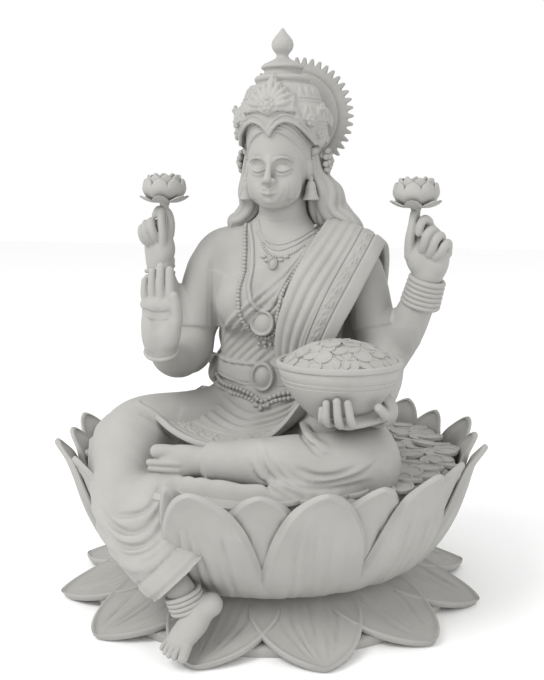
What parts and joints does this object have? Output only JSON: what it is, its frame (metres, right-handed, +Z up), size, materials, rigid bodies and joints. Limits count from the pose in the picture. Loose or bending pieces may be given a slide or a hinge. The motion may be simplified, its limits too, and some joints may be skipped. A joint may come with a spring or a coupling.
{
  "type": "lakshmi figure",
  "caption": "Four-armed goddess seated on a lotus throne, one leg hanging over its petals, with a bowl of coins, raised flowers and a toothed disc behind the head.",
  "frame": {"origin": "centre of the throne's flat underside, on the axis of its petals", "axes": "+Z up through the crown, the figure faces -Y, +X is her left side"},
  "size_m": [0.195, 0.1978, 0.25],
  "materials": {
    "cast_figure": "matt pale warm grey cast resin, fine dry grain, no paint",
    "cast_throne": "matt pale warm grey cast resin, fine dry grain, no paint"
  },
  "bodies": {
    "root": {"figure": "cast_figure", "lotus_throne": "cast_throne"}
  },
  "joints": []
}
